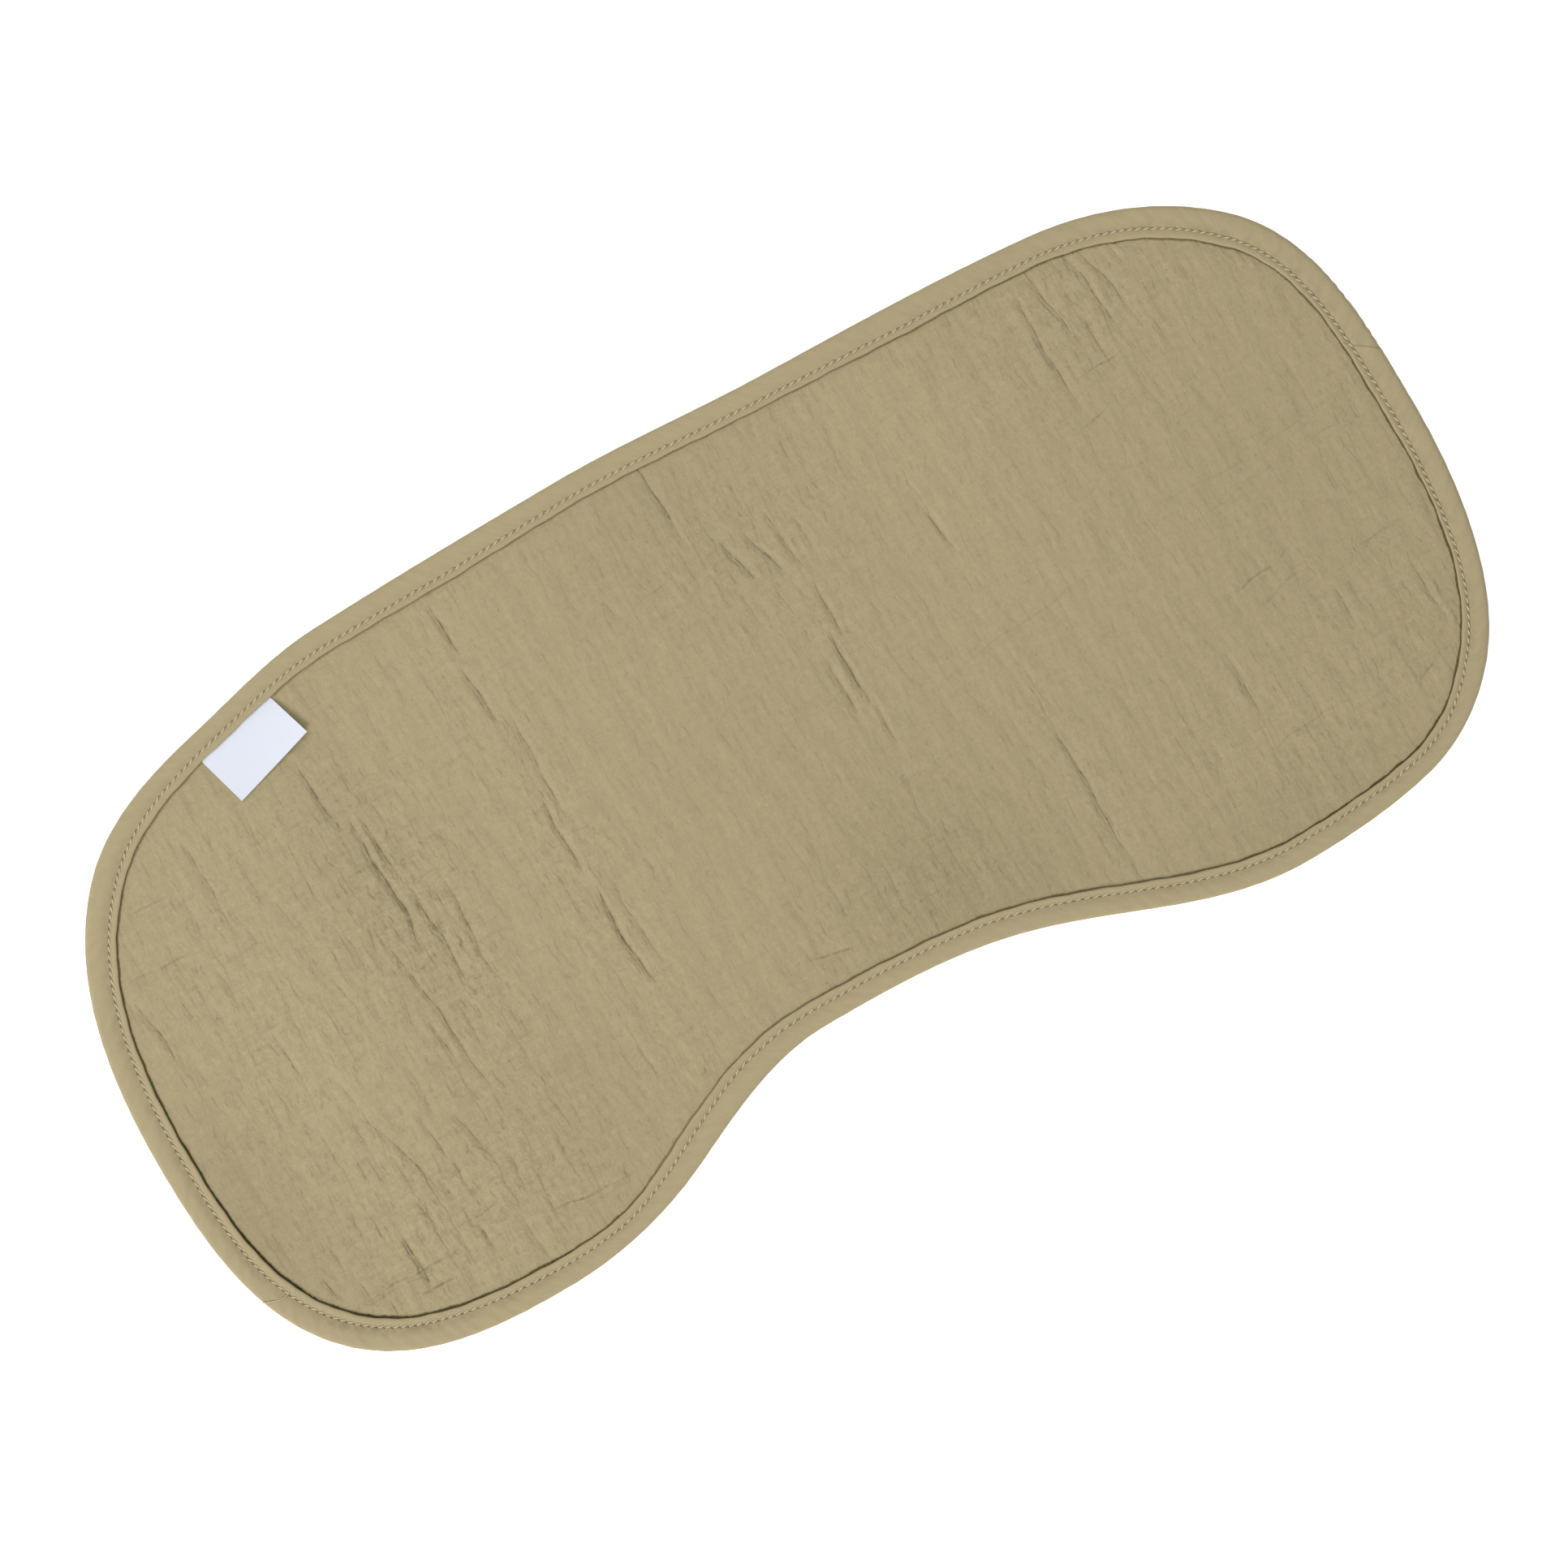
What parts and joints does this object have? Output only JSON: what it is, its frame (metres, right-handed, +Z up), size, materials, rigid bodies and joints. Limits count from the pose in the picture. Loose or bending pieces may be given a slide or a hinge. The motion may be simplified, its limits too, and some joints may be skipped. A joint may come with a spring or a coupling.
{
  "type": "burp cloth",
  "caption": "Flat contoured burp cloth: a crinkled muslin panel with a shallow neck curve, a folded bias binding round its edge and a small blank side label.",
  "frame": {"origin": "centre of the overall box on the surface that the cloth lies on", "axes": "+X along the cloth, with the label end at -X; +Y towards the straighter long edge, away from the neck curve; +Z up, out of the side that carries the label"},
  "size_m": [0.5, 0.2413, 0.0047],
  "materials": {
    "muslin": "matt crinkled double gauze, sandy olive",
    "binding": "matt plain-weave bias tape, sandy olive, one row of topstitching",
    "label": "smooth white satin ribbon, blank"
  },
  "bodies": {
    "root": {"muslin_panel": "muslin", "edge_binding": "binding", "side_label": "label"}
  },
  "joints": []
}
